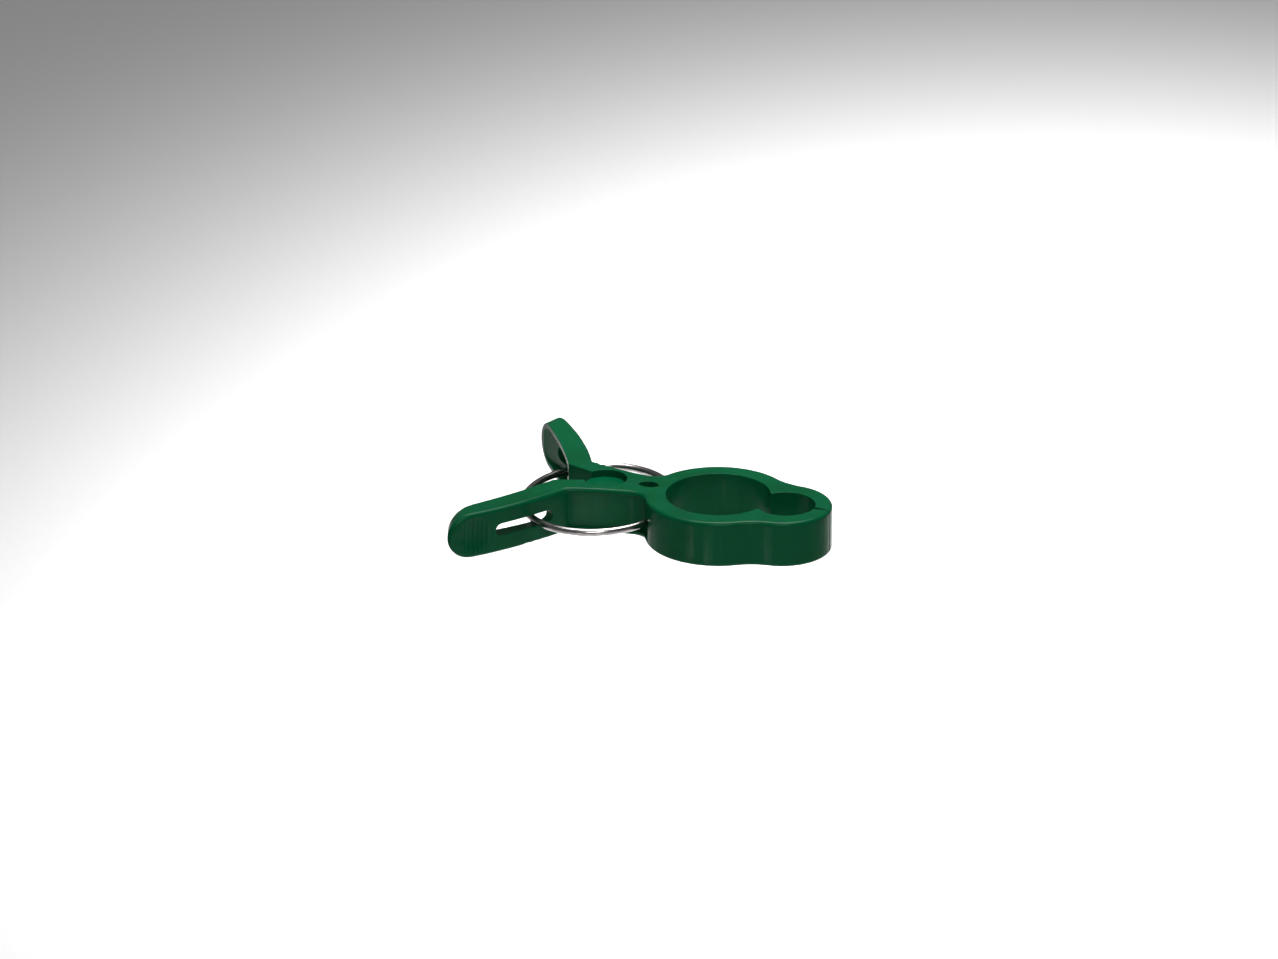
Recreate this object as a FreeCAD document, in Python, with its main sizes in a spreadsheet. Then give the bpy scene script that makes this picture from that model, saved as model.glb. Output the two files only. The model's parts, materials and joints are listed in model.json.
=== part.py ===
import FreeCAD, Part
import math
import os
import Sketcher

# Spring plant clip: two moulded jaw halves that turn on a round drum, closed by a wire ring.
# The plan is drawn about the drum's axis, u towards the jaw tips and v out from the mid-plane,
# and every piece is then placed so that the large seat's axis is the frame's Z axis.

doc = FreeCAD.newDocument("plant_clip")
V = FreeCAD.Vector

# Driving dimensions in mm and degrees.
DIMS = [
    ("height", "16.2"),            # height of both halves
    ("half_gap", "0.1"),         # each half stops this far from the mid-plane
    ("seat_u", "40.7"),          # drum axis to large seat
    ("seat_r", "17.85"),          # large seat, for the stem
    ("seat_wall", "7.15"),
    ("cane_u", "64.9"),          # drum axis to small seat
    ("cane_r", "10"),            # small seat, for the cane
    ("tip_notch", "0.9"),        # the tip flats lean apart this far at the small seat
    ("shell_u", "63.4"),         # centre of the outside round of the small lobe
    ("shell_r", "17.25"),
    ("waist_r", "20"),           # hollow between the two lobes, outside
    ("neck_r", "6"),             # hollow between the large lobe and the middle
    ("neck_v", "8"),             # half width of the neck
    ("neck_slope", "7"),         # degrees the edge leans where it leaves the neck
    ("side_r", "110"),           # hollow edge from the neck to the handle root
    ("root_r", "2.2"),           # inside corner at the handle root
    ("grip_u", "-19.1"),         # a point half way along the outside of the handle
    ("grip_v", "29.5"),
    ("grip_angle", "124.3"),       # direction of the handle there
    ("grip_r", "135"),           # the outside of the handle is this gently bowed
    ("inner_u", "-16.2"),        # where the inside of the handle starts
    ("inner_v", "7.3"),
    ("inner_angle", "123"),      # direction from there to the handle's end, on the inside
    ("inner_length", "44.3"),
    ("inner_r", "200"),          # the inside of the handle is bowed the same way
    ("end_angle", "70"),         # direction of the handle's end, seen in plan
    ("end_over", "2"),           # the cut that rounds the end runs this far past the faces
    ("end_out", "12"),           # and this far past the end's centre
    ("drum_r", "7.3"),
    ("drum_drop", "2.4"),        # the drum stops this far below the top and bottom faces
    ("drum_clear", "0.05"),      # running clearance round the drum
    ("drum_open", "30"),         # degrees of drum left bare each side of the handle gap
    ("eye_start", "12"),         # small oval hole between the two contact flats
    ("eye_end", "19.3"),
    ("eye_depth", "2.3"),
    ("edge_r", "1.3"),           # rounding of the outside edges
    ("flange_t", "1.8"),         # flanges above and below the side recess
    ("recess_d", "1.8"),         # depth of the side recess at the neck
    ("floor_slope", "13.2"),     # degrees the recess floor leans
    ("corner_r", "2.5"),         # round where the recess floor meets the handle
    ("web_t", "3.7"),            # thickness left outside the handle's inner recess
    ("rim_t", "1.8"),            # rim round the inner recess
    ("recess_start", "3"),       # inner recess starts this far up the handle
    ("block_length", "90"),      # the round-ended block that shapes the inner recess
    ("block_width", "80"),
    ("slot_length", "23.5"),
    ("slot_h", "4.4"),
    ("slot_u", "-18.9"),
    ("slot_v", "27.9"),
    ("pad_along", "18.4"),       # grip point to the middle of the finger pad
    ("pad_ball_r", "22"),        # the pad is a shallow dish cut by a ball
    ("pad_depth", "1.1"),
    ("rib_count", "9"),
    ("rib_pitch", "1.65"),
    ("rib_t", "0.7"),
    ("rib_h", "0.4"),            # the ribs stand this high above the bottom of the dish
    ("rib_reach", "16"),         # depth of the slab that each rib is cut from
    ("ring_u", "-2.5"),          # centre of the wire ring
    ("ring_a", "25"),            # half length of the ring's centre line along u
    ("ring_b", "29.3"),          # half width of the ring's centre line along v
    ("wire_r", "1.3"),
    ("ring_end", "13"),          # degrees from +u to each end of the wire
    ("hole_r", "1.6"),           # hole for the wire's end
    ("hole_length", "10"),
    ("hole_turn", "19"),         # the straight hole meets the ring's line at this angle
    ("hole_past", "0.6"),        # the hole is this much deeper than the wire's end
]

# Worked out from the dimensions above.
DERIVED = [
    ("seat_out", "seat_r + seat_wall"),
    ("sock_r", "drum_r + drum_clear"),
    ("mid_z", "height / 2"),
    # hollow between the lobes: a circle that touches both outside rounds
    ("waist_d", "shell_u - seat_u"),
    ("waist_ra", "seat_out + waist_r"),
    ("waist_rb", "shell_r + waist_r"),
    ("waist_u", "seat_u + (waist_d^2 + waist_ra^2 - waist_rb^2) / (2 * waist_d)"),
    ("waist_v", "sqrt(waist_ra^2 - (waist_u - seat_u)^2)"),
    ("p0u", "shell_u + sqrt(shell_r^2 - half_gap^2)"),
    ("p1u", "shell_u + (waist_u - shell_u) * shell_r / waist_rb"),
    ("p1v", "waist_v * shell_r / waist_rb"),
    ("p2u", "seat_u + (waist_u - seat_u) * seat_out / waist_ra"),
    ("p2v", "waist_v * seat_out / waist_ra"),
    # neck: a circle that touches the large lobe
    ("neck_cv", "neck_v + neck_r"),
    ("neck_cu", "seat_u - sqrt((seat_out + neck_r)^2 - neck_cv^2)"),
    ("p3u", "seat_u + (neck_cu - seat_u) * seat_out / (seat_out + neck_r)"),
    ("p3v", "neck_cv * seat_out / (seat_out + neck_r)"),
    ("p4u", "neck_cu - neck_r * sin(neck_slope * 1 deg)"),
    ("p4v", "neck_cv - neck_r * cos(neck_slope * 1 deg)"),
    ("side_u", "p4u + side_r * sin(neck_slope * 1 deg)"),
    ("side_v", "p4v + side_r * cos(neck_slope * 1 deg)"),
    # outside of the handle: a large circle through the grip point
    ("bow_u", "grip_u - grip_r * sin(grip_angle * 1 deg)"),
    ("bow_v", "grip_v + grip_r * cos(grip_angle * 1 deg)"),
    # inside corner: a small circle that touches the side edge and the handle
    ("root_a", "grip_r + root_r"),
    ("root_b", "side_r - root_r"),
    ("root_du", "side_u - bow_u"),
    ("root_dv", "side_v - bow_v"),
    ("root_d", "sqrt(root_du^2 + root_dv^2)"),
    ("root_k", "(root_d^2 + root_a^2 - root_b^2) / (2 * root_d)"),
    ("root_w", "sqrt(root_a^2 - root_k^2)"),
    ("root_u", "bow_u + (root_k * root_du + root_w * root_dv) / root_d"),
    ("root_v", "bow_v + (root_k * root_dv - root_w * root_du) / root_d"),
    ("p5u", "side_u + (root_u - side_u) * side_r / root_b"),
    ("p5v", "side_v + (root_v - side_v) * side_r / root_b"),
    ("p6u", "bow_u + (root_u - bow_u) * grip_r / root_a"),
    ("p6v", "bow_v + (root_v - bow_v) * grip_r / root_a"),
    # inside of the handle: a large circle from its start to its end
    ("in_cu", "cos(inner_angle * 1 deg)"),
    ("in_cv", "sin(inner_angle * 1 deg)"),
    ("in_half", "asin(inner_length / (2 * inner_r))"),
    ("in_rise", "sqrt(inner_r^2 - inner_length^2 / 4)"),
    ("in_u", "inner_u + in_cu * inner_length / 2 - in_cv * in_rise"),
    ("in_v", "inner_v + in_cv * inner_length / 2 + in_cu * in_rise"),
    # end of the handle: the outline is a little too long and the round end cuts it back
    ("end_cu", "cos(end_angle * 1 deg)"),
    ("end_cv", "sin(end_angle * 1 deg)"),
    ("tip_u", "inner_u + inner_length * in_cu"),
    ("tip_v", "inner_v + inner_length * in_cv"),
    ("cap_u", "tip_u + mid_z * end_cv"),
    ("cap_v", "tip_v - mid_z * end_cu"),
    ("p8_turn", "inner_angle * 1 deg + in_half + 2 / inner_r * 1 rad"),
    ("p8u", "in_u + inner_r * sin(p8_turn)"),
    ("p8v", "in_v - inner_r * cos(p8_turn)"),
    ("end_b", "(p8u - bow_u) * end_cu + (p8v - bow_v) * end_cv"),
    ("end_c", "(p8u - bow_u)^2 + (p8v - bow_v)^2 - grip_r^2"),
    ("end_t", "sqrt(end_b^2 - end_c) - end_b"),
    ("p7u", "p8u + end_t * end_cu"),
    ("p7v", "p8v + end_t * end_cv"),
    # side recess: its floor leaves the handle with a round, runs straight, then round the neck
    # and out on the large lobe
    ("f_r", "neck_r + recess_d"),
    ("f2u", "neck_cu - f_r * sin(floor_slope * 1 deg)"),
    ("f2v", "neck_cv - f_r * cos(floor_slope * 1 deg)"),
    ("floor_cu", "-cos(floor_slope * 1 deg)"),
    ("floor_cv", "sin(floor_slope * 1 deg)"),
    ("over_u", "f2u + corner_r * floor_cv"),
    ("over_v", "f2v - corner_r * floor_cu"),
    ("f_b", "(over_u - bow_u) * floor_cu + (over_v - bow_v) * floor_cv"),
    ("f_c", "(over_u - bow_u)^2 + (over_v - bow_v)^2"),
    ("f_t", "-f_b - sqrt(f_b^2 - f_c + (grip_r + corner_r)^2)"),
    ("f1u", "f2u + f_t * floor_cu"),
    ("f1v", "f2v + f_t * floor_cv"),
    ("corner_u", "over_u + f_t * floor_cu"),
    ("corner_v", "over_v + f_t * floor_cv"),
    ("f0u", "bow_u + (corner_u - bow_u) * grip_r / (grip_r + corner_r)"),
    ("f0v", "bow_v + (corner_v - bow_v) * grip_r / (grip_r + corner_r)"),
    ("f_d", "seat_out + neck_r"),
    ("f_k", "(f_d^2 + seat_out^2 - f_r^2) / (2 * f_d)"),
    ("f_w", "sqrt(seat_out^2 - f_k^2)"),
    ("f3u", "seat_u - (f_k * (seat_u - neck_cu) - f_w * neck_cv) / f_d"),
    ("f3v", "(f_k * neck_cv + f_w * (seat_u - neck_cu)) / f_d"),
    ("clear_v", "root_v + 6"),
    ("clear_u", "f0u - (clear_v - f0v) * (corner_v - bow_v) / (corner_u - bow_u)"),
    # inner recess of the handle
    ("web_r", "grip_r - web_t"),
    ("g1_turn", "inner_angle * 1 deg - in_half + recess_start / inner_r * 1 rad"),
    ("g1u", "in_u + inner_r * sin(g1_turn)"),
    ("g1v", "in_v - inner_r * cos(g1_turn)"),
    ("g_b", "(g1u - bow_u) * in_cv - (g1v - bow_v) * in_cu"),
    ("g_c", "(g1u - bow_u)^2 + (g1v - bow_v)^2 - web_r^2"),
    ("g_t", "sqrt(g_b^2 - g_c) - g_b"),
    ("g2u", "g1u + g_t * in_cv"),
    ("g2v", "g1v - g_t * in_cu"),
    ("g3_b", "(cap_u - bow_u) * end_cu + (cap_v - bow_v) * end_cv"),
    ("g3_c", "(cap_u - bow_u)^2 + (cap_v - bow_v)^2 - web_r^2"),
    ("g3_t", "sqrt(g3_b^2 - g3_c) - g3_b"),
    ("g3u", "cap_u + g3_t * end_cu - mid_z * end_cv"),
    ("g3v", "cap_v + g3_t * end_cv + mid_z * end_cu"),
    ("g4u", "p8u + 4 * in_cu"),
    ("g4v", "p8v + 4 * in_cv"),
    ("g5u", "g4u - 6 * in_cv"),
    ("g5v", "g4v + 6 * in_cu"),
    ("g6u", "g1u - 6 * in_cv"),
    ("g6v", "g1v + 6 * in_cu"),
    ("block_h", "height - 2 * rim_t"),
    ("block_u", "cap_u + (block_length - block_h) / 2 * end_cv"),
    ("block_v", "cap_v - (block_length - block_h) / 2 * end_cu"),
    # finger pad: its middle, and the way straight out of the handle there
    ("pad_turn", "grip_angle * 1 deg + pad_along / grip_r * 1 rad"),
    ("pad_cu", "sin(pad_turn)"),
    ("pad_cv", "-cos(pad_turn)"),
    ("pad_u", "bow_u + grip_r * pad_cu"),
    ("pad_v", "bow_v + grip_r * pad_cv"),
    # wire: its ends, and the way that the holes for them run
    ("wire_u", "ring_u + ring_a * cos(ring_end * 1 deg)"),
    ("wire_v", "ring_b * sin(ring_end * 1 deg)"),
    ("hole_k", "sqrt(ring_a^2 * sin(hole_turn * 1 deg)^2 + ring_b^2 * cos(hole_turn * 1 deg)^2)"),
    ("hole_cu", "-ring_a * sin(hole_turn * 1 deg) / hole_k"),
    ("hole_cv", "ring_b * cos(hole_turn * 1 deg) / hole_k"),
    # drum, contact flats and seats
    ("p10u", "-sock_r * cos(drum_open * 1 deg)"),
    ("p10v", "sock_r * sin(drum_open * 1 deg)"),
    ("p11u", "sqrt(sock_r^2 - half_gap^2)"),
    ("eye_half", "(eye_end - eye_start) / 2"),
    ("eye_r", "(eye_half^2 + eye_depth^2) / (2 * eye_depth)"),
    ("p14u", "seat_u - sqrt(seat_r^2 - half_gap^2)"),
    ("cusp_d", "cane_u - seat_u"),
    ("p15u", "seat_u + (cusp_d^2 + seat_r^2 - cane_r^2) / (2 * cusp_d)"),
    ("p15v", "sqrt(seat_r^2 - (p15u - seat_u)^2)"),
    ("p16u", "cane_u + sqrt(cane_r^2 - tip_notch^2)"),
]

sheet = doc.addObject("Spreadsheet::Sheet", "Dims")
value = {}
for row, (name, text) in enumerate(DIMS + DERIVED, start=1):
    cell = "B%d" % row
    sheet.set("A%d" % row, name)
    sheet.set(cell, text if (name, text) in DIMS else "=" + text)
    sheet.setAlias(cell, name)
doc.recompute()
for name, text in DIMS + DERIVED:
    got = sheet.get(name)
    value[name] = float(getattr(got, "Value", got))


def bind(thing, prop, text):
    """Tie a property to the sheet."""
    thing.setExpression(prop, text)


def mirrored(side, text):
    """Expression for a distance out from the mid-plane; side is -1 for the front half."""
    return ("-" if side < 0 else "") + "(" + text + ")"


def turned(side, angle, tilt=0):
    """Rotation in plan, mirrored for the front half, after tilting about the X axis."""
    flat = FreeCAD.Rotation(V(0, 0, 1), side * angle)
    return flat.multiply(FreeCAD.Rotation(V(1, 0, 0), tilt))


def plane(body, role):
    """One of the body's own origin planes."""
    return [item for item in body.Origin.OriginFeatures if item.Role == role][0]


def new_body(name):
    """Empty body with its origin ready for sketches."""
    body = doc.addObject("PartDesign::Body", name)
    doc.recompute()
    return body


def new_sketch(body, name):
    """Sketch on the body's XY plane."""
    sketch = body.newObject("Sketcher::SketchObject", name)
    sketch.AttachmentSupport = [(plane(body, "XY_Plane"), "")]
    sketch.MapMode = "FlatFace"
    return sketch


def measure(sketch, kind, picks, size, text):
    """Add a dimension to a sketch and tie it to the sheet."""
    k = sketch.addConstraint(Sketcher.Constraint(kind, *picks, size))
    bind(sketch, "Constraints[%d]" % k, text)


def arc_between(start, end, radius, turn):
    """Arc of less than half a circle; turn is 1 when its centre is left of start to end."""
    chord = end.sub(start)
    half = chord.Length / 2
    left = V(-chord.y, chord.x, 0).normalize()
    rise = math.sqrt(radius ** 2 - half ** 2)
    centre = start.add(chord * 0.5).add(left * (rise * turn))
    first, last = (start, end) if turn > 0 else (end, start)
    a0 = math.atan2(first.y - centre.y, first.x - centre.x)
    a1 = math.atan2(last.y - centre.y, last.x - centre.x)
    if a1 < a0:
        a1 += 2 * math.pi
    return Part.ArcOfCircle(Part.Circle(centre, V(0, 0, 1), radius), a0, a1)


def flat_sketch(body, name, steps, side, lift):
    """Closed plan sketch. Each step is (u name, v name, radius name or None, turn): the corner
    that an edge starts from, and the edge's radius and the side that its centre is on."""
    sketch = new_sketch(body, name)
    if lift:
        bind(sketch, "AttachmentOffset.Base.z", lift)
    count = len(steps)
    corner = [V(value[u], side * value[v], 0) for u, v, radius, turn in steps]
    ends = []
    for i, (u, v, radius, turn) in enumerate(steps):
        start = corner[i]
        end = corner[(i + 1) % count]
        if radius:
            way = turn * side
            sketch.addGeometry(arc_between(start, end, value[radius], way), False)
            ends.append((1, 2) if way > 0 else (2, 1))
        else:
            sketch.addGeometry(Part.LineSegment(start, end), False)
            ends.append((1, 2))
    for i in range(count):
        j = (i + 1) % count
        sketch.addConstraint(Sketcher.Constraint("Coincident", i, ends[i][1], j, ends[j][0]))
    for i, (u, v, radius, turn) in enumerate(steps):
        at = (i, ends[i][0])
        measure(sketch, "DistanceX", at, corner[i].x, "Dims." + u)
        measure(sketch, "DistanceY", at, corner[i].y, mirrored(side, "Dims." + v))
        if radius:
            measure(sketch, "Radius", (i,), value[radius], "Dims." + radius)
    return sketch


def round_sketch(body, name, radius, lift):
    """Circle about the drum's axis."""
    sketch = new_sketch(body, name)
    if lift:
        bind(sketch, "AttachmentOffset.Base.z", lift)
    sketch.addGeometry(Part.Circle(V(0, 0, 0), V(0, 0, 1), value[radius]), False)
    sketch.addConstraint(Sketcher.Constraint("Coincident", 0, 3, -1, 1))
    measure(sketch, "Radius", (0,), value[radius], "Dims." + radius)
    return sketch


def slot_sketch(body, name, at, side, turn, length, width):
    """Slot with round ends on an upright plane at mid height, its length level."""
    sketch = new_sketch(body, name)
    sketch.AttachmentOffset = FreeCAD.Placement(V(0, 0, 0), turned(side, turn, 90))
    bind(sketch, "AttachmentOffset.Base.x", "Dims." + at + "_u")
    bind(sketch, "AttachmentOffset.Base.y", mirrored(side, "Dims." + at + "_v"))
    bind(sketch, "AttachmentOffset.Base.z", "Dims.mid_z")
    rad = value[width] / 2
    half = value[length] / 2 - rad
    quarter = math.pi / 2
    right = Part.Circle(V(half, 0, 0), V(0, 0, 1), rad)
    left = Part.Circle(V(-half, 0, 0), V(0, 0, 1), rad)
    sketch.addGeometry(Part.LineSegment(V(-half, rad, 0), V(half, rad, 0)), False)
    sketch.addGeometry(Part.ArcOfCircle(right, -quarter, quarter), False)
    sketch.addGeometry(Part.LineSegment(V(half, -rad, 0), V(-half, -rad, 0)), False)
    sketch.addGeometry(Part.ArcOfCircle(left, quarter, 3 * quarter), False)
    for first, end, second, start in ((0, 2, 1, 2), (1, 1, 2, 1), (2, 2, 3, 2), (3, 1, 0, 1)):
        sketch.addConstraint(Sketcher.Constraint("Tangent", first, end, second, start))
    sketch.addConstraint(Sketcher.Constraint("Horizontal", 0))
    sketch.addConstraint(Sketcher.Constraint("Symmetric", 1, 3, 3, 3, -1, 1))
    measure(sketch, "Radius", (1,), rad, "Dims.%s / 2" % width)
    across = "Dims.%s - Dims.%s" % (length, width)
    measure(sketch, "DistanceX", (0, 1, 0, 2), 2 * half, across)
    return sketch


def raise_up(body, kind, name, sketch, length):
    """Pad or pocket that works upwards from its sketch."""
    feature = body.newObject("PartDesign::" + kind, name)
    feature.Profile = sketch
    bind(feature, "Length", length)
    if kind == "Pocket":
        feature.Reversed = True
    doc.recompute()
    return feature


def cut_through(body, name, sketch):
    """Pocket right through the body, both ways from its sketch."""
    feature = body.newObject("PartDesign::Pocket", name)
    feature.Profile = sketch
    feature.Type = "ThroughAll"
    feature.Midplane = True
    doc.recompute()
    return feature


def outline(side):
    """Plan of one half, from the tip round the outside and the handle to the drum and back
    along the contact flats. The rear half has the drum's socket, the front half the drum."""
    drum_edge = "sock_r" if side > 0 else None
    return [
        ("p0u", "half_gap", "shell_r", 1),
        ("p1u", "p1v", "waist_r", -1),
        ("p2u", "p2v", "seat_out", 1),
        ("p3u", "p3v", "neck_r", -1),
        ("p4u", "p4v", "side_r", -1),
        ("p5u", "p5v", "root_r", -1),
        ("p6u", "p6v", "grip_r", 1),
        ("p7u", "p7v", None, 0),
        ("p8u", "p8v", "inner_r", -1),
        ("inner_u", "inner_v", None, 0),
        ("p10u", "p10v", drum_edge, -1),
        ("p11u", "half_gap", None, 0),
        ("eye_start", "half_gap", "eye_r", -1),
        ("eye_end", "half_gap", None, 0),
        ("p14u", "half_gap", "seat_r", -1),
        ("p15u", "p15v", "cane_r", -1),
        ("p16u", "tip_notch", None, 0),
    ]


OUTER_RADII = ["shell_r", "waist_r", "seat_out", "neck_r", "side_r", "root_r", "grip_r"]

SIDE_RECESS = [
    ("f0u", "f0v", "corner_r", 1),
    ("f1u", "f1v", None, 0),
    ("f2u", "f2v", "f_r", 1),
    ("f3u", "f3v", None, 0),
    ("f3u", "clear_v", None, 0),
    ("clear_u", "clear_v", None, 0),
]

HANDLE_RECESS = [
    ("g1u", "g1v", None, 0),
    ("g2u", "g2v", "web_r", 1),
    ("g3u", "g3v", None, 0),
    ("g4u", "g4v", None, 0),
    ("g5u", "g5v", None, 0),
    ("g6u", "g6v", None, 0),
]


def round_off_end(body, label, side):
    """Make the handle's end a half round as tall as the part."""
    sketch = new_sketch(body, label + "_end")
    spin = turned(side, value["end_angle"] + 90, 90)
    sketch.AttachmentOffset = FreeCAD.Placement(V(0, 0, 0), spin)
    bind(sketch, "AttachmentOffset.Base.x", "Dims.cap_u")
    bind(sketch, "AttachmentOffset.Base.y", mirrored(side, "Dims.cap_v"))
    bind(sketch, "AttachmentOffset.Base.z", "Dims.mid_z")
    rad = value["mid_z"]
    over = value["end_over"]
    out = value["end_out"]
    frame = [V(0, rad, 0), V(0, rad + over, 0), V(out, rad + over, 0),
             V(out, -rad - over, 0), V(0, -rad - over, 0), V(0, -rad, 0)]
    for i in range(5):
        sketch.addGeometry(Part.LineSegment(frame[i], frame[i + 1]), False)
    circle = Part.Circle(V(0, 0, 0), V(0, 0, 1), rad)
    sketch.addGeometry(Part.ArcOfCircle(circle, -math.pi / 2, math.pi / 2), False)
    for i in range(4):
        sketch.addConstraint(Sketcher.Constraint("Coincident", i, 2, i + 1, 1))
    sketch.addConstraint(Sketcher.Constraint("Coincident", 4, 2, 5, 1))
    sketch.addConstraint(Sketcher.Constraint("Coincident", 5, 2, 0, 1))
    for i, kind in enumerate(["Vertical", "Horizontal", "Vertical", "Horizontal", "Vertical"]):
        sketch.addConstraint(Sketcher.Constraint(kind, i))
    sketch.addConstraint(Sketcher.Constraint("Coincident", 5, 3, -1, 1))
    sketch.addConstraint(Sketcher.Constraint("PointOnObject", 0, 1, -2))
    sketch.addConstraint(Sketcher.Constraint("PointOnObject", 4, 2, -2))
    measure(sketch, "Radius", (5,), rad, "Dims.mid_z")
    measure(sketch, "DistanceY", (0, 1, 0, 2), over, "Dims.end_over")
    measure(sketch, "DistanceY", (4, 1, 4, 2), over, "Dims.end_over")
    measure(sketch, "DistanceX", (1, 1, 1, 2), out, "Dims.end_out")
    return cut_through(body, label + "_end_cut", sketch)


def outer_edges(shape):
    """Edges that run along the outside walls, without the upright ones."""
    radii = [value[name] for name in OUTER_RADII]
    names = []
    for i, edge in enumerate(shape.Edges, start=1):
        a = edge.valueAt(edge.FirstParameter)
        b = edge.valueAt(edge.LastParameter)
        if math.hypot(a.x - b.x, a.y - b.y) < 1e-3 and abs(a.z - b.z) > 0.1:
            continue
        for face in shape.ancestorsOfType(edge, Part.Face):
            surface = face.Surface
            if surface.TypeId != "Part::GeomCylinder" or abs(surface.Axis.z) < 0.99:
                continue
            if min(abs(surface.Radius - r) for r in radii) < 1e-4:
                names.append("Edge%d" % i)
                break
    return names


def handle_recess(label, side):
    """Tool for the hollow inside the handle: it leaves a rim all round and an even web."""
    flat = new_body(label + "_recess_flat")
    plan = flat_sketch(flat, label + "_recess_plan", HANDLE_RECESS, side, "")
    doc.recompute()
    raise_up(flat, "Pad", label + "_recess_pad", plan, "Dims.height")
    block = new_body(label + "_recess_block")
    turn = value["end_angle"] + 90
    face = slot_sketch(block, label + "_recess_face", "block", side, turn, "block_length", "block_h")
    doc.recompute()
    pad = raise_up(block, "Pad", label + "_recess_long", face, "Dims.block_width")
    pad.Midplane = True
    both = doc.addObject("Part::MultiCommon", label + "_recess")
    both.Shapes = [flat, block]
    doc.recompute()
    return both


def pad_ball(label, name, side, lift):
    """Ball whose lowest point lies under the middle of the finger pad."""
    ball = doc.addObject("Part::Sphere", label + name)
    bind(ball, "Radius", "Dims.pad_ball_r")
    reach = "(Dims.pad_ball_r - Dims.pad_depth + %s)" % lift
    bind(ball, "Placement.Base.x", "Dims.pad_u + Dims.pad_cu * " + reach)
    bind(ball, "Placement.Base.y", mirrored(side, "Dims.pad_v + Dims.pad_cv * " + reach))
    bind(ball, "Placement.Base.z", "Dims.mid_z")
    return ball


def finger_pad(label, side):
    """Tool for the finger pad: a shallow dish that leaves a row of upright ribs in it."""
    dish = pad_ball(label, "_dish", side, "0")
    crest = pad_ball(label, "_crest", side, "Dims.rib_h")
    spin = turned(side, value["pad_turn"])
    count = int(value["rib_count"])
    slabs = []
    for i in range(count):
        slab = doc.addObject("Part::Box", "%s_rib_%d" % (label, i + 1))
        slab.Placement = FreeCAD.Placement(V(0, 0, 0), spin)
        bind(slab, "Length", "Dims.rib_t")
        bind(slab, "Width", "Dims.rib_reach")
        bind(slab, "Height", "Dims.height")
        step = "(%g * Dims.rib_pitch - Dims.rib_t / 2)" % (i - (count - 1) / 2)
        back = "%d * Dims.rib_reach / 2" % side
        bind(slab, "Placement.Base.x",
             "Dims.pad_u - Dims.pad_cv * %s + Dims.pad_cu * %s" % (step, back))
        bind(slab, "Placement.Base.y",
             mirrored(side, "Dims.pad_v + Dims.pad_cu * %s + Dims.pad_cv * %s" % (step, back)))
        slabs.append(slab)
    rack = doc.addObject("Part::MultiFuse", label + "_rib_rack")
    rack.Shapes = slabs
    ribs = doc.addObject("Part::Cut", label + "_ribs")
    ribs.Base = rack
    ribs.Tool = crest
    pad = doc.addObject("Part::Cut", label + "_pad")
    pad.Base = dish
    pad.Tool = ribs
    doc.recompute()
    return pad


def wire_hole(label, side):
    """Tool for the hole in the flank that takes one end of the wire."""
    hole = doc.addObject("Part::Cylinder", label + "_wire_hole")
    bind(hole, "Radius", "Dims.hole_r")
    bind(hole, "Height", "Dims.hole_length")
    way = V(value["hole_cu"], side * value["hole_cv"], 0)
    hole.Placement = FreeCAD.Placement(V(0, 0, 0), FreeCAD.Rotation(V(0, 0, 1), way))
    bind(hole, "Placement.Base.x", "Dims.wire_u - Dims.hole_past * Dims.hole_cu")
    bind(hole, "Placement.Base.y",
         mirrored(side, "Dims.wire_v - Dims.hole_past * Dims.hole_cv"))
    bind(hole, "Placement.Base.z", "Dims.mid_z")
    return hole


def jaw(label, side):
    """One moulded half. The front half (side -1) carries the drum, the rear half its socket."""
    body = new_body(label + "_body")
    plan = flat_sketch(body, label + "_plan", outline(side), side, "")
    doc.recompute()
    raise_up(body, "Pad", label + "_block", plan, "Dims.height")
    ended = round_off_end(body, label, side)
    fillet = body.newObject("PartDesign::Fillet", label + "_edges")
    fillet.Base = (ended, outer_edges(ended.Shape))
    bind(fillet, "Radius", "Dims.edge_r")
    doc.recompute()
    if side < 0:
        drum_h = "Dims.height - 2 * Dims.drum_drop"
        drum = round_sketch(body, label + "_drum_plan", "drum_r", "Dims.drum_drop")
        doc.recompute()
        raise_up(body, "Pad", label + "_drum", drum, drum_h)
        low = round_sketch(body, label + "_low_plan", "drum_r", "")
        doc.recompute()
        raise_up(body, "Pocket", label + "_low", low, "Dims.drum_drop")
        top = round_sketch(body, label + "_top_plan", "drum_r", "Dims.height - Dims.drum_drop")
        doc.recompute()
        raise_up(body, "Pocket", label + "_top", top, "Dims.drum_drop")
    recess = flat_sketch(body, label + "_side_plan", SIDE_RECESS, side, "Dims.flange_t")
    doc.recompute()
    raise_up(body, "Pocket", label + "_side", recess, "Dims.height - 2 * Dims.flange_t")
    turn = value["grip_angle"]
    slot = slot_sketch(body, label + "_slot", "slot", side, turn, "slot_length", "slot_h")
    doc.recompute()
    cut_through(body, label + "_slot_cut", slot)
    tools = doc.addObject("Part::MultiFuse", label + "_tools")
    tools.Shapes = [handle_recess(label, side), finger_pad(label, side), wire_hole(label, side)]
    done = doc.addObject("Part::Cut", label)
    done.Label = label
    done.Base = body
    done.Tool = tools
    bind(done, "Placement.Base.x", "-Dims.seat_u")
    doc.recompute()
    return done


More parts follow.
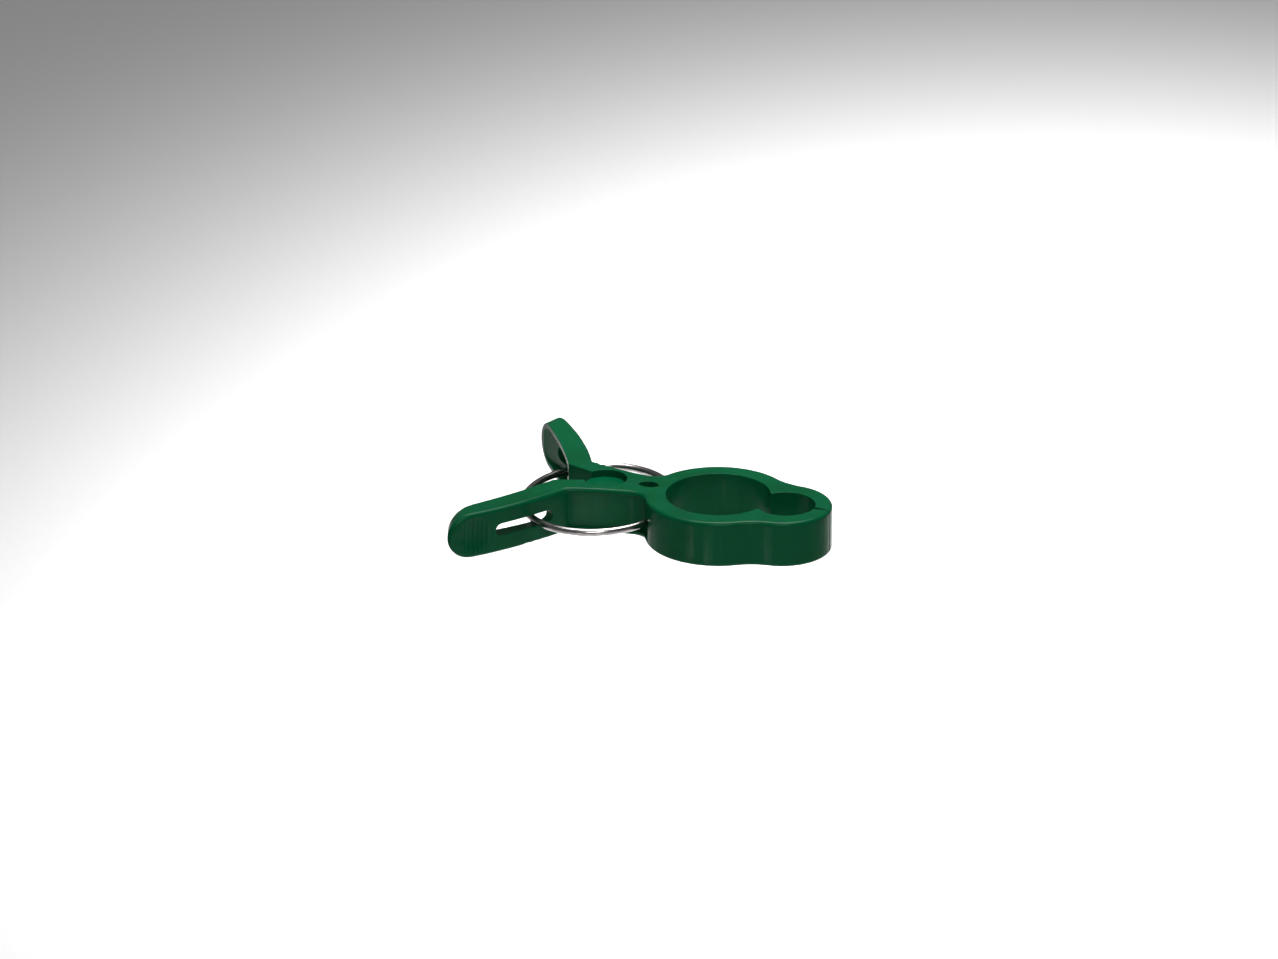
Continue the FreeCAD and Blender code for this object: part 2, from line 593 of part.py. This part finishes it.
def wire_ring():
    """C-shaped ring of round wire, slightly wider than long, lying level at mid height."""
    spine = doc.addObject("Part::Ellipse", "ring_line")
    bind(spine, "MajorRadius", "Dims.ring_b")
    bind(spine, "MinorRadius", "Dims.ring_a")
    bind(spine, "Angle1", "Dims.ring_end + 90")
    bind(spine, "Angle2", "90 - Dims.ring_end")
    spine.Placement = FreeCAD.Placement(V(0, 0, 0), FreeCAD.Rotation(V(0, 0, 1), -90))
    section = doc.addObject("Part::Circle", "wire_section")
    bind(section, "Radius", "Dims.wire_r")
    phi = math.radians(value["ring_end"])
    way = V(-value["ring_a"] * math.sin(phi), value["ring_b"] * math.cos(phi), 0)
    section.Placement = FreeCAD.Placement(V(0, 0, 0), FreeCAD.Rotation(V(0, 0, 1), way))
    bind(section, "Placement.Base.x", "Dims.wire_u - Dims.ring_u")
    bind(section, "Placement.Base.y", "Dims.wire_v")
    ring = doc.addObject("Part::Sweep", "spring_ring")
    ring.Label = "spring_ring"
    ring.Sections = [section]
    ring.Spine = (spine, ["Edge1"])
    ring.Solid = True
    ring.Frenet = True
    bind(ring, "Placement.Base.x", "Dims.ring_u - Dims.seat_u")
    bind(ring, "Placement.Base.z", "Dims.mid_z")
    doc.recompute()
    return ring


pieces = [jaw("front_jaw", -1), jaw("rear_jaw", 1), wire_ring()]
doc.recompute()
for item in doc.Objects:
    if "Invalid" in item.State or "Error" in item.State:
        raise RuntimeError("%s is %s" % (item.Name, item.State))
os.makedirs("parts", exist_ok=True)
for piece in pieces:
    if piece.Shape.isNull() or not piece.Shape.isValid():
        raise RuntimeError(piece.Label + " has a bad shape")
    piece.Shape.exportStep("parts/" + piece.Label + ".step")
    print(piece.Label, round(piece.Shape.Volume, 1), len(piece.Shape.Solids), piece.Shape.BoundBox)
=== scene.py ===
import json
import math

import bpy
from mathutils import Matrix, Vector

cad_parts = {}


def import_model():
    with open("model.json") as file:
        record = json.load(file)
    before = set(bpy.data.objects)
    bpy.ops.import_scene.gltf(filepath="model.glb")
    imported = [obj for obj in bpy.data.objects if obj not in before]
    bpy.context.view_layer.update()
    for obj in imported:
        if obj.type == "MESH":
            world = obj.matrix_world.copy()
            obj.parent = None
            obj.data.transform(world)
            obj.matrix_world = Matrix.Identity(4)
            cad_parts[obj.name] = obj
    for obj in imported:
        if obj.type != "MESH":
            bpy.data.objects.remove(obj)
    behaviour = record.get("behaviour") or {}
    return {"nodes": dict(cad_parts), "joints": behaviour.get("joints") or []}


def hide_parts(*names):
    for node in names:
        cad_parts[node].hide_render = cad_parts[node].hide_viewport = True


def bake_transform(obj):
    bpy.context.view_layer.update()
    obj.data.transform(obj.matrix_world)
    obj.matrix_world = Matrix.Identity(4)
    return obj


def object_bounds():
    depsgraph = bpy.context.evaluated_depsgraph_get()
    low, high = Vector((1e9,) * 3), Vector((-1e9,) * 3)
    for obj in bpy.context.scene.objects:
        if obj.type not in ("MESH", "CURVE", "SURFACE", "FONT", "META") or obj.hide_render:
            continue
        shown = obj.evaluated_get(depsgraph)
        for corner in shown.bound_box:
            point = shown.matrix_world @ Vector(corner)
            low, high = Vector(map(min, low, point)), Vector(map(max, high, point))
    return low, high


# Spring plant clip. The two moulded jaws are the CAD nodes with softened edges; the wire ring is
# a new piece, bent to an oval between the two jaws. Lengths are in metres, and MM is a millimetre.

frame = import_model()
cad_low, cad_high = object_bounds()
scene = bpy.context.scene

MM = 0.001

# The hinge's place comes from the frame's one joint.
hinge = Vector(frame["joints"][0]["pos_m"])

# The jaws' softened edges.
EDGE_VOXEL = 0.2 * MM
EDGE_FACTOR = 0.5
EDGE_PASSES = 2

# The wire ring: an oval about a centre just behind the hinge, open by twice the end angle.
RING_CENTRE = hinge + Vector((-2.5 * MM, 0, 0))
RING_HALF_LENGTH = 25 * MM
RING_HALF_WIDTH = 29.3 * MM
WIRE_RADIUS = 1.3 * MM
WIRE_END_ANGLE = math.radians(13)
WIRE_END_ROUND = 0.35 * MM
WIRE_END_STEPS = 6
WIRE_STEPS = 288
WIRE_SIDES = 40
UP = Vector((0, 0, 1))

# The camera's direction, its lens and sensor in millimetres, and how its aim is placed.
CAMERA_AZIMUTH = math.radians(20.16)
CAMERA_ELEVATION = math.radians(23)
CAMERA_LENS = 225.35
CAMERA_SENSOR = 36
CAMERA_DISTANCE = 2.72
CAMERA_RAISE = 8.57 * MM
CAMERA_TARGET = Vector((-28.56 * MM, 0, hinge.z))
CAMERA_CLIP = (0.1, 50)

# The stem holds the clip up, so the floor lies well below it.
FLOOR_DROP = 150 * MM
FLOOR_HALF = 6
FLOOR_COLOUR = (0.86, 0.86, 0.86, 1)
FLOOR_ROUGHNESS = 0.9
FLOOR_SPECULAR = 0.1

# Light: what the lamps aim at, and the strength of the white surroundings.
LIGHT_TARGET = (-20 * MM, 0, hinge.z)
WORLD_STRENGTH = 0.14

# Green plastic: base colours, the colour of dust specks, and a paler green painted on convex edges as
# a highlight.
GREEN = (0.0003, 0.0580, 0.0210)
GREEN_DARK = (0.0002, 0.0480, 0.0165)
GREEN_LIGHT = (0.0030, 0.0760, 0.0330)
GREEN_SPECK = (0.02, 0.12, 0.07)
# painted highlight: the paler green that the rounded edges are mixed towards
GREEN_EDGE_HIGHLIGHT = (0.0080, 0.0950, 0.0480)

# Scales of the noise on the plastic, in cells per metre.
CLOUD_SCALE = 55
FLOW_SCALE = 240
SPECK_SCALE = 2600
GLOSS_SCALE = 420
GRAIN_SCALE = 5200
WAVE_SCALE = 160

# How glossy the plastic is, and how deep its grain and its slow waves are.
PLASTIC_SPECULAR = 0.07
GRAIN_DEPTH = 0.00002
WAVE_DEPTH = 0.0002
PLASTIC_BUMP = 0.35

# Plated wire: grey, bright and brownish plating, the scales of its noise, and its drawn lines.
PLATE_GREY = (0.28, 0.26, 0.26)
PLATE_BRIGHT = (0.42, 0.40, 0.40)
PLATE_BROWN = (0.34, 0.29, 0.27)
TARNISH_SCALE = 300
PLATE_GLOSS_SCALE = 900
DRAWN_LINE_SCALE = 46.0
DRAWN_LINE_DEPTH = 0.00003
DRAWN_LINE_BUMP = 0.3


# ---------------------------------------------------------------- shader helpers

# The colour sockets of a Mix node, by number, because its names repeat.
MIX_FACTOR = 0
MIX_FIRST = 6
MIX_SECOND = 7
MIX_RESULT = 2


def new_material(name):
    """A new material, its node tree and its Principled shader."""
    material = bpy.data.materials.new(name)
    material.use_nodes = True
    tree = material.node_tree
    shader = tree.nodes["Principled BSDF"]
    return material, tree, shader


def add_node(tree, kind, **values):
    """A new node; each value goes to the input of that name, or else to the node's own setting."""
    node = tree.nodes.new(kind)
    for key, value in values.items():
        if key in node.inputs:
            node.inputs[key].default_value = value
        else:
            setattr(node, key, value)
    return node


def noise(tree, scale, detail=4.0, roughness=0.55, stretch=(1, 1, 1)):
    """Noise in the object's own coordinates, scale in cells per metre."""
    place = add_node(tree, "ShaderNodeTexCoord")
    mapping = add_node(tree, "ShaderNodeMapping")
    mapping.inputs["Scale"].default_value = stretch
    tree.links.new(place.outputs["Object"], mapping.inputs["Vector"])
    texture = add_node(
        tree, "ShaderNodeTexNoise", Scale=scale, Detail=detail, Roughness=roughness
    )
    tree.links.new(mapping.outputs["Vector"], texture.inputs["Vector"])
    return texture.outputs["Fac"]


def ramp(tree, source, stops):
    """A colour ramp: stops are (position, grey or colour)."""
    node = add_node(tree, "ShaderNodeValToRGB")
    elements = node.color_ramp.elements
    while len(elements) > 1:
        elements.remove(elements[-1])
    for index, (position, colour) in enumerate(stops):
        element = elements[0] if index == 0 else elements.new(position)
        element.position = position
        shade = (colour,) * 3 if isinstance(colour, (int, float)) else colour
        element.color = (*shade, 1)
    tree.links.new(source, node.inputs["Fac"])
    return node.outputs["Color"]


def mix(tree, kind, factor, first, second):
    """A colour mix; factor, first and second are sockets or values."""
    node = add_node(tree, "ShaderNodeMix", data_type="RGBA", blend_type=kind)
    for index, value in ((MIX_FACTOR, factor), (MIX_FIRST, first), (MIX_SECOND, second)):
        if isinstance(value, bpy.types.NodeSocket):
            tree.links.new(value, node.inputs[index])
        elif isinstance(value, (int, float)):
            node.inputs[index].default_value = value
        else:
            node.inputs[index].default_value = (*value, 1)
    return node.outputs[MIX_RESULT]


def bump(tree, height, distance, strength, below=None):
    """A bump's normal from a height socket, on top of another bump if one is given."""
    node = add_node(tree, "ShaderNodeBump", Strength=strength, Distance=distance)
    tree.links.new(height, node.inputs["Height"])
    if below is not None:
        tree.links.new(below, node.inputs["Normal"])
    return node.outputs["Normal"]


# ---------------------------------------------------------------- materials

def moulded_green():
    """Semi-gloss green plastic: faint flow marks, pale specks, a painted highlight of paler green on
    the rounded edges, and a fine grain.
    """
    material, tree, shader = new_material("moulded_green")
    cloudy = noise(tree, CLOUD_SCALE, detail=3)
    colour = ramp(tree, cloudy, [(0.35, GREEN_DARK), (0.55, GREEN), (0.8, GREEN)])
    flow = noise(tree, FLOW_SCALE, detail=5, stretch=(1, 1, 0.25))
    flow_amount = ramp(tree, flow, [(0.55, 0.0), (0.85, 0.35)])
    colour = mix(tree, "MIX", flow_amount, colour, GREEN_LIGHT)
    specks = noise(tree, SPECK_SCALE, detail=2)
    speck_amount = ramp(tree, specks, [(0.70, 0.0), (0.80, 0.45)])
    colour = mix(tree, "MIX", speck_amount, colour, GREEN_SPECK)
    geometry = add_node(tree, "ShaderNodeNewGeometry")
    # Painted highlight: convex edges, found by Pointiness, are mixed towards a paler green, as if the
    # rounded edges caught the light.
    edge_highlight = ramp(tree, geometry.outputs["Pointiness"], [(0.505, 0.0), (0.60, 0.4)])
    colour = mix(tree, "MIX", edge_highlight, colour, GREEN_EDGE_HIGHLIGHT)
    tree.links.new(colour, shader.inputs["Base Color"])
    gloss = ramp(tree, noise(tree, GLOSS_SCALE, detail=6), [(0.3, 0.19), (0.7, 0.27)])
    tree.links.new(gloss, shader.inputs["Roughness"])
    shader.inputs["Specular IOR Level"].default_value = PLASTIC_SPECULAR
    grain_height = noise(tree, GRAIN_SCALE, detail=2)
    grain = bump(tree, grain_height, distance=GRAIN_DEPTH, strength=PLASTIC_BUMP)
    wave_height = noise(tree, WAVE_SCALE, detail=2)
    waves = bump(tree, wave_height, distance=WAVE_DEPTH, strength=PLASTIC_BUMP, below=grain)
    tree.links.new(waves, shader.inputs["Normal"])
    return material


def plated_wire():
    """Plated spring wire: drawing lines along the wire, and duller and brownish spots."""
    material, tree, shader = new_material("plated_wire")
    shader.inputs["Metallic"].default_value = 1.0
    tarnish = noise(tree, TARNISH_SCALE, detail=5)
    colour = ramp(tree, tarnish, [(0.3, PLATE_GREY), (0.6, PLATE_BRIGHT), (0.9, PLATE_BROWN)])
    tree.links.new(colour, shader.inputs["Base Color"])
    gloss = ramp(tree, noise(tree, PLATE_GLOSS_SCALE, detail=4), [(0.3, 0.14), (0.75, 0.26)])
    tree.links.new(gloss, shader.inputs["Roughness"])
    attribute = add_node(tree, "ShaderNodeAttribute", attribute_name="around")
    lines = add_node(
        tree, "ShaderNodeTexNoise", noise_dimensions="1D", Scale=DRAWN_LINE_SCALE, Detail=3.0
    )
    tree.links.new(attribute.outputs["Fac"], lines.inputs["W"])
    height = lines.outputs["Fac"]
    drawn = bump(tree, height, distance=DRAWN_LINE_DEPTH, strength=DRAWN_LINE_BUMP)
    tree.links.new(drawn, shader.inputs["Normal"])
    return material


# ---------------------------------------------------------------- the jaws

def soften(node, material):
    """Gives a moulded jaw its material and rounds every edge a little, as moulding leaves them."""
    node.data.materials.clear()
    node.data.materials.append(material)
    remesh = node.modifiers.new("even_mesh", "REMESH")
    remesh.mode = "VOXEL"
    remesh.voxel_size = EDGE_VOXEL
    remesh.use_smooth_shade = True
    smooth = node.modifiers.new("soft_edges", "SMOOTH")
    smooth.factor = EDGE_FACTOR
    smooth.iterations = EDGE_PASSES
    return node


# ---------------------------------------------------------------- the wire ring

def ring_point(angle):
    """The wire's centre line at an angle about the ring's centre."""
    offset = Vector((RING_HALF_LENGTH * math.cos(angle), RING_HALF_WIDTH * math.sin(angle), 0))
    return RING_CENTRE + offset


def ring_direction(angle):
    """The wire's direction at an angle about the ring's centre."""
    along = Vector((-RING_HALF_LENGTH * math.sin(angle), RING_HALF_WIDTH * math.cos(angle), 0))
    return along.normalized()


def wire_end(point, along, side):
    """Sections of a cut end, from its flat face inwards; side is -1 at the start, 1 at the stop."""
    sections = []
    for step in range(WIRE_END_STEPS):
        turn = math.pi / 2 * step / WIRE_END_STEPS
        radius = WIRE_RADIUS - WIRE_END_ROUND * (1 - math.sin(turn))
        inset = WIRE_END_ROUND * math.cos(turn)
        sections.append((point + along * (side * inset), along, radius))
    return sections


def wire_sections():
    """Every section of the wire, as (centre, direction, radius), from one cut end to the other."""
    start = WIRE_END_ANGLE
    stop = 2 * math.pi - WIRE_END_ANGLE
    stations = []
    for step in range(WIRE_STEPS + 1):
        angle = start + (stop - start) * step / WIRE_STEPS
        stations.append((ring_point(angle), ring_direction(angle), WIRE_RADIUS))
    first_point, first_along, _ = stations[0]
    last_point, last_along, _ = stations[-1]
    head = wire_end(first_point, first_along, -1)
    tail = wire_end(last_point, last_along, 1)
    return head + stations + tail[::-1]


def wire_ring(material):
    """One round wire bent to an oval ring, open towards the seats, with rounded cut ends."""
    sections = wire_sections()
    vertices = []
    around = []
    for point, along, radius in sections:
        outward = along.cross(UP)
        for side in range(WIRE_SIDES):
            turn = 2 * math.pi * side / WIRE_SIDES
            spoke = math.cos(turn) * outward + math.sin(turn) * UP
            vertices.append(point + radius * spoke)
            # 0 on the ring's outside and 1 on its inside: the material's drawn lines follow it
            around.append(0.5 - 0.5 * math.cos(turn))
    faces = []
    for row in range(len(sections) - 1):
        for side in range(WIRE_SIDES):
            a = row * WIRE_SIDES + side
            b = row * WIRE_SIDES + (side + 1) % WIRE_SIDES
            faces.append((a, b, b + WIRE_SIDES, a + WIRE_SIDES))
    last = (len(sections) - 1) * WIRE_SIDES
    faces.append(tuple(range(WIRE_SIDES))[::-1])
    faces.append(tuple(range(last, last + WIRE_SIDES)))
    mesh = bpy.data.meshes.new("wire_ring")
    mesh.from_pydata(vertices, [], faces)
    mesh.validate()
    mesh.attributes.new("around", "FLOAT", "POINT").data.foreach_set("value", around)
    mesh.shade_smooth()
    mesh.materials.append(material)
    ring = bpy.data.objects.new("wire_ring", mesh)
    scene.collection.objects.link(ring)
    return ring


# ---------------------------------------------------------------- camera, light and floor

def camera():
    """Looks down on the front jaw's side, from a little towards the seats' end, with a long lens."""
    back = Vector((
        math.sin(CAMERA_AZIMUTH) * math.cos(CAMERA_ELEVATION),
        -math.cos(CAMERA_AZIMUTH) * math.cos(CAMERA_ELEVATION),
        math.sin(CAMERA_ELEVATION),
    ))
    data = bpy.data.cameras.new("camera")
    data.sensor_width = CAMERA_SENSOR
    data.lens = CAMERA_LENS
    data.clip_start, data.clip_end = CAMERA_CLIP
    cam = bpy.data.objects.new("camera", data)
    turn = (-back).to_track_quat("-Z", "Y")
    up = turn @ Vector((0, 1, 0))
    cam.location = CAMERA_TARGET + back * CAMERA_DISTANCE + up * CAMERA_RAISE
    cam.rotation_mode = "QUATERNION"
    cam.rotation_quaternion = turn
    scene.collection.objects.link(cam)
    scene.camera = cam


def area_light(name, place, target, size, power, spread=180):
    """A rectangular lamp that faces its target; size in metres, power in watts, spread in degrees."""
    data = bpy.data.lights.new(name, "AREA")
    data.shape = "RECTANGLE"
    data.size, data.size_y = size
    data.energy = power
    data.spread = math.radians(spread)
    lamp = bpy.data.objects.new(name, data)
    lamp.location = place
    lamp.rotation_mode = "QUATERNION"
    lamp.rotation_quaternion = (Vector(target) - Vector(place)).to_track_quat("-Z", "Y")
    scene.collection.objects.link(lamp)


def floor():
    """A plain pale floor, which isn't part of the object."""
    mesh = bpy.data.meshes.new("floor")
    low = cad_low.z - FLOOR_DROP
    corners = [
        (-FLOOR_HALF, -FLOOR_HALF, low),
        (FLOOR_HALF, -FLOOR_HALF, low),
        (FLOOR_HALF, FLOOR_HALF, low),
        (-FLOOR_HALF, FLOOR_HALF, low),
    ]
    mesh.from_pydata(corners, [], [(0, 1, 2, 3)])
    material, _, shader = new_material("pale_floor")
    shader.inputs["Base Color"].default_value = FLOOR_COLOUR
    shader.inputs["Roughness"].default_value = FLOOR_ROUGHNESS
    shader.inputs["Specular IOR Level"].default_value = FLOOR_SPECULAR
    mesh.materials.append(material)
    plane = bpy.data.objects.new("floor", mesh)
    scene.collection.objects.link(plane)


def world():
    """Dim white light from all round."""
    made = bpy.data.worlds.new("studio")
    made.use_nodes = True
    background = made.node_tree.nodes["Background"]
    background.inputs["Color"].default_value = (1, 1, 1, 1)
    background.inputs["Strength"].default_value = WORLD_STRENGTH
    scene.world = made


def lamps():
    """A back key and an overhead lamp, a fill at the front, and two small lamps low down."""
    area_light(
        "key",
        place=(-0.02, 0.42, 0.55),
        target=(-0.02, 0.36, 0),
        size=(0.42, 0.80),
        power=3.3,
        spread=70,
    )
    area_light("overhead", place=(0, 0, 1.2), target=LIGHT_TARGET, size=(1.2, 1.2), power=4.5)
    area_light("fill", place=(0.32, -0.72, 0.5), target=LIGHT_TARGET, size=(0.4, 0.3), power=3.2)
    for x, y in ((-0.035, -0.100), (0.009, -0.099)):
        area_light(
            "spot",
            place=(x, y, -0.030),
            target=(0.01, -0.02, 0.005),
            size=(0.012, 0.006),
            power=0.0022,
        )


# ---------------------------------------------------------------- the scene

green = moulded_green()
steel = plated_wire()
for name in ("front_jaw", "rear_jaw"):
    soften(frame["nodes"][name], green)

ring = wire_ring(steel)
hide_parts("spring_ring")
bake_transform(ring)

camera()
world()
floor()
lamps()
scene.view_settings.view_transform = "Standard"
